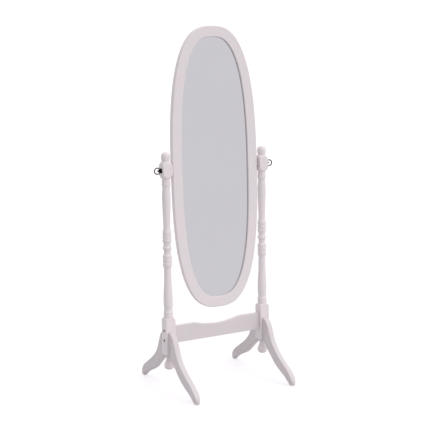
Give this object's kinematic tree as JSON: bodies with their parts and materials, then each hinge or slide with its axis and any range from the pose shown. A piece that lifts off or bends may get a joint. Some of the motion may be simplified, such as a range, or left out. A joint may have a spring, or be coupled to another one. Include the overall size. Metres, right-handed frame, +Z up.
{
  "type": "cheval floor mirror",
  "caption": "Tall oval-framed floor mirror that tilts between turned posts joined by a shaped rail, on scrolled legs, with ring handles at the pivots.",
  "frame": {"origin": "on the floor, midway between the posts and midway between front and rear toes", "axes": "+X to the right seen from the front, -Y towards the viewer (the glass faces -Y), +Z up"},
  "size_m": [0.572, 0.5, 1.5145],
  "materials": {
    "white_paint": "satin off-white paint over wood",
    "silvered_glass": "silvered float glass",
    "hardboard": "bare brown hardboard",
    "bronze": "dark antique bronze",
    "black_steel": "black oxide",
    "zinc_steel": "zinc plated",
    "brass": "machined",
    "beech": "bare",
    "nylon": "moulded",
    "dark_glide": "matt"
  },
  "bodies": {
    "stand": {"front_left_dowel_lower": "beech", "front_left_dowel_upper": "beech", "front_left_glide": "dark_glide", "front_left_leg": "white_paint", "front_right_dowel_lower": "beech", "front_right_dowel_upper": "beech", "front_right_glide": "dark_glide", "front_right_leg": "white_paint", "left_barrel_nut_lower": "zinc_steel", "left_barrel_nut_upper": "zinc_steel", "left_drop_finial": "white_paint", "left_drop_screw": "zinc_steel", "left_pivot_spacer": "nylon", "left_post": "white_paint", "left_rail_bolt_lower": "black_steel", "left_rail_bolt_upper": "black_steel", "rail": "white_paint", "rear_left_dowel_lower": "beech", "rear_left_dowel_upper": "beech", "rear_left_glide": "dark_glide", "rear_left_leg": "white_paint", "rear_right_dowel_lower": "beech", "rear_right_dowel_upper": "beech", "rear_right_glide": "dark_glide", "rear_right_leg": "white_paint", "right_barrel_nut_lower": "zinc_steel", "right_barrel_nut_upper": "zinc_steel", "right_drop_finial": "white_paint", "right_drop_screw": "zinc_steel", "right_pivot_spacer": "nylon", "right_post": "white_paint", "right_rail_bolt_lower": "black_steel", "right_rail_bolt_upper": "black_steel"},
    "mirror": {"back_panel": "hardboard", "back_screw_1": "zinc_steel", "back_screw_10": "zinc_steel", "back_screw_2": "zinc_steel", "back_screw_3": "zinc_steel", "back_screw_4": "zinc_steel", "back_screw_5": "zinc_steel", "back_screw_6": "zinc_steel", "back_screw_7": "zinc_steel", "back_screw_8": "zinc_steel", "back_screw_9": "zinc_steel", "left_frame_insert": "brass", "mirror_frame": "white_paint", "mirror_glass": "silvered_glass", "right_frame_insert": "brass"},
    "left_knob": {"left_knob": "bronze"},
    "left_washer": {"left_knob_washer": "black_steel"},
    "right_knob": {"right_knob": "bronze"},
    "right_washer": {"right_knob_washer": "black_steel"}
  },
  "joints": [
    {"name": "mirror_tilt", "type": "hinge", "parent": "stand", "child": "mirror", "pos_m": [0, 0, 0.9288], "axis": [1, 0, 0], "continuous": true},
    {"name": "left_washer_slide", "type": "slide", "parent": "stand", "child": "left_washer", "axis": [-1, 0, 0], "range_m": [0, 0.002]},
    {"name": "left_knob_turn", "type": "hinge", "parent": "left_washer", "child": "left_knob", "pos_m": [-0.232, 0, 0.9288], "axis": [-1, 0, 0], "range_deg": [0, 721]},
    {"name": "right_washer_slide", "type": "slide", "parent": "stand", "child": "right_washer", "axis": [1, 0, 0], "range_m": [0, 0.002]},
    {"name": "right_knob_turn", "type": "hinge", "parent": "right_washer", "child": "right_knob", "pos_m": [0.232, 0, 0.9288], "axis": [1, 0, 0], "range_deg": [0, 721]}
  ],
  "couplings": [
    {"joint": "left_knob_turn", "follows": "left_washer_slide", "rad_per_m": 6283.2},
    {"joint": "right_knob_turn", "follows": "right_washer_slide", "rad_per_m": 6283.2}
  ]
}
